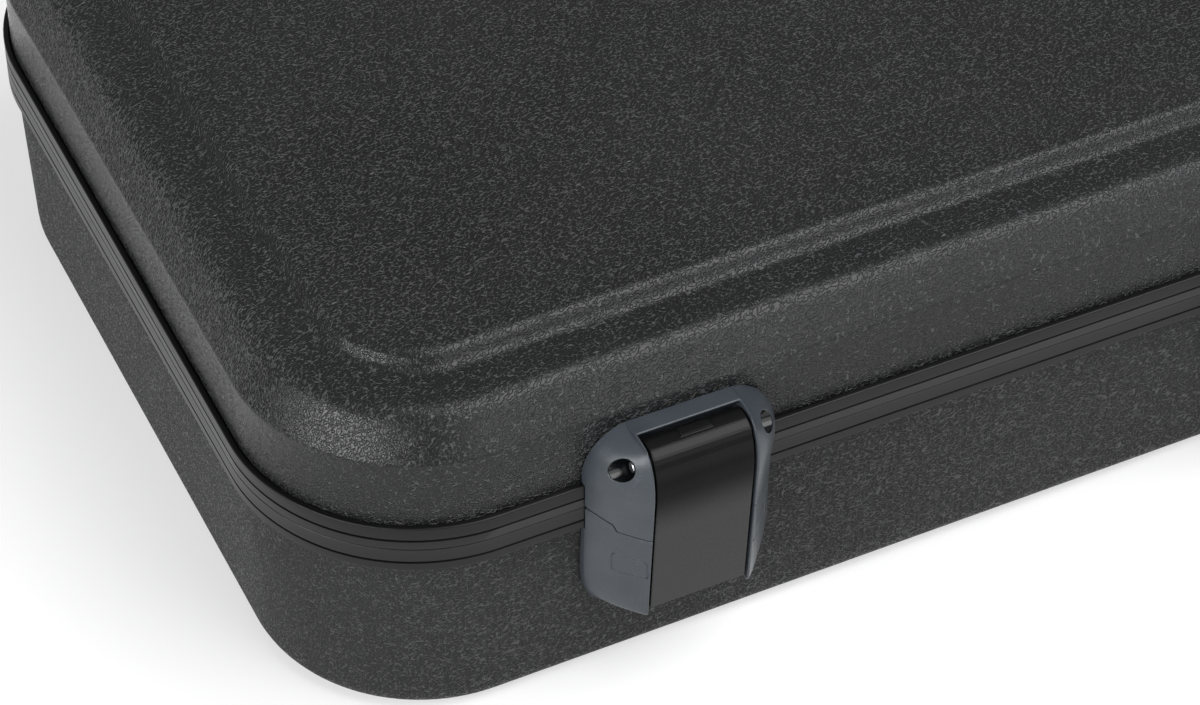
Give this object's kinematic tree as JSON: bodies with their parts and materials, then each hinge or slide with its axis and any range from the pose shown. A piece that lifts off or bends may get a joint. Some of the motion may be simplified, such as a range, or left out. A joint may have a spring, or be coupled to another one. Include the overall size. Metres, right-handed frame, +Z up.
{
  "type": "molded guitar case",
  "caption": "Rectangular molded guitar case with metal edge frames, lever latches in plastic bumpers, rear hinges, a foam bed and a swinging carry handle.",
  "frame": {"origin": "centre of the base shell's flat underside, on the floor", "axes": "+X along the case's length towards the neck end, -Y towards the latches and handle, +Y towards the hinges, +Z up through the lid"},
  "size_m": [1.07, 0.4005, 0.1522],
  "materials": {
    "shell": "pebble-grained black plastic",
    "edge_frame": "satin black anodised extrusion",
    "bumper": "fine satin blue-grey plastic",
    "lever": "satin black plastic",
    "steel": "zinc-plated steel",
    "rubber": "matt black rubber",
    "foam": "plush-faced black foam"
  },
  "bodies": {
    "base": {"base_shell": "shell", "base_frame": "edge_frame", "seam_gasket": "rubber", "foam_bed": "foam", "neck_rest": "foam", "hinge_1_base_leaf": "edge_frame", "hinge_1_pin": "steel", "hinge_2_base_leaf": "edge_frame", "hinge_2_pin": "steel", "hinge_3_base_leaf": "edge_frame", "hinge_3_pin": "steel", "latch_1_base_bumper": "bumper", "latch_1_striker": "steel", "latch_2_base_bumper": "bumper", "latch_2_striker": "steel", "latch_3_base_bumper": "bumper", "latch_3_striker": "steel", "latch_4_base_bumper": "bumper", "latch_4_striker": "steel", "handle_bracket_left": "bumper", "handle_bracket_right": "bumper", "handle_pin_left": "steel", "handle_pin_right": "steel"},
    "lid": {"lid_shell": "shell", "lid_frame": "edge_frame", "lid_pad": "foam", "hinge_1_lid_leaf": "edge_frame", "hinge_2_lid_leaf": "edge_frame", "hinge_3_lid_leaf": "edge_frame", "latch_1_lid_bumper": "bumper", "latch_1_pivot_pin": "steel", "latch_2_lid_bumper": "bumper", "latch_2_pivot_pin": "steel", "latch_3_lid_bumper": "bumper", "latch_3_pivot_pin": "steel", "latch_4_lid_bumper": "bumper", "latch_4_pivot_pin": "steel"},
    "handle": {"handle_grip": "rubber"},
    "lever_1": {"latch_1_lever": "lever", "latch_1_hook_pin": "steel"},
    "lever_2": {"latch_2_lever": "lever", "latch_2_hook_pin": "steel"},
    "lever_3": {"latch_3_lever": "lever", "latch_3_hook_pin": "steel"},
    "lever_4": {"latch_4_lever": "lever", "latch_4_hook_pin": "steel"},
    "hook_1": {"latch_1_hook": "steel"},
    "hook_2": {"latch_2_hook": "steel"},
    "hook_3": {"latch_3_hook": "steel"},
    "hook_4": {"latch_4_hook": "steel"}
  },
  "joints": [
    {"name": "lid_hinge", "type": "hinge", "parent": "base", "child": "lid", "pos_m": [0, 0.19, 0.09225], "axis": [-1, 0, 0], "range_deg": [0, 105]},
    {"name": "handle_swing", "type": "hinge", "parent": "base", "child": "handle", "pos_m": [0, -0.194, 0.062], "axis": [-1, 0, 0], "range_deg": [0, 100]},
    {"name": "latch_1_lift", "type": "hinge", "parent": "lid", "child": "lever_1", "pos_m": [-0.3945, -0.1965, 0.11775], "axis": [-1, 0, 0], "range_deg": [0, 100]},
    {"name": "latch_2_lift", "type": "hinge", "parent": "lid", "child": "lever_2", "pos_m": [-0.128, -0.1965, 0.11775], "axis": [-1, 0, 0], "range_deg": [0, 100]},
    {"name": "latch_3_lift", "type": "hinge", "parent": "lid", "child": "lever_3", "pos_m": [0.128, -0.1965, 0.11775], "axis": [-1, 0, 0], "range_deg": [0, 100]},
    {"name": "latch_4_lift", "type": "hinge", "parent": "lid", "child": "lever_4", "pos_m": [0.3945, -0.1965, 0.11775], "axis": [-1, 0, 0], "range_deg": [0, 100]},
    {"name": "latch_1_hook_turn", "type": "hinge", "parent": "lever_1", "child": "hook_1", "pos_m": [-0.3945, -0.197, 0.08325], "axis": [-1, 0, 0], "range_deg": [-60, 0]},
    {"name": "latch_2_hook_turn", "type": "hinge", "parent": "lever_2", "child": "hook_2", "pos_m": [-0.128, -0.197, 0.08325], "axis": [-1, 0, 0], "range_deg": [-60, 0]},
    {"name": "latch_3_hook_turn", "type": "hinge", "parent": "lever_3", "child": "hook_3", "pos_m": [0.128, -0.197, 0.08325], "axis": [-1, 0, 0], "range_deg": [-60, 0]},
    {"name": "latch_4_hook_turn", "type": "hinge", "parent": "lever_4", "child": "hook_4", "pos_m": [0.3945, -0.197, 0.08325], "axis": [-1, 0, 0], "range_deg": [-60, 0]}
  ],
  "couplings": [
    {"joint": "latch_1_hook_turn", "follows": "latch_1_lift", "ratio": -0.6},
    {"joint": "latch_2_hook_turn", "follows": "latch_2_lift", "ratio": -0.6},
    {"joint": "latch_3_hook_turn", "follows": "latch_3_lift", "ratio": -0.6},
    {"joint": "latch_4_hook_turn", "follows": "latch_4_lift", "ratio": -0.6}
  ]
}
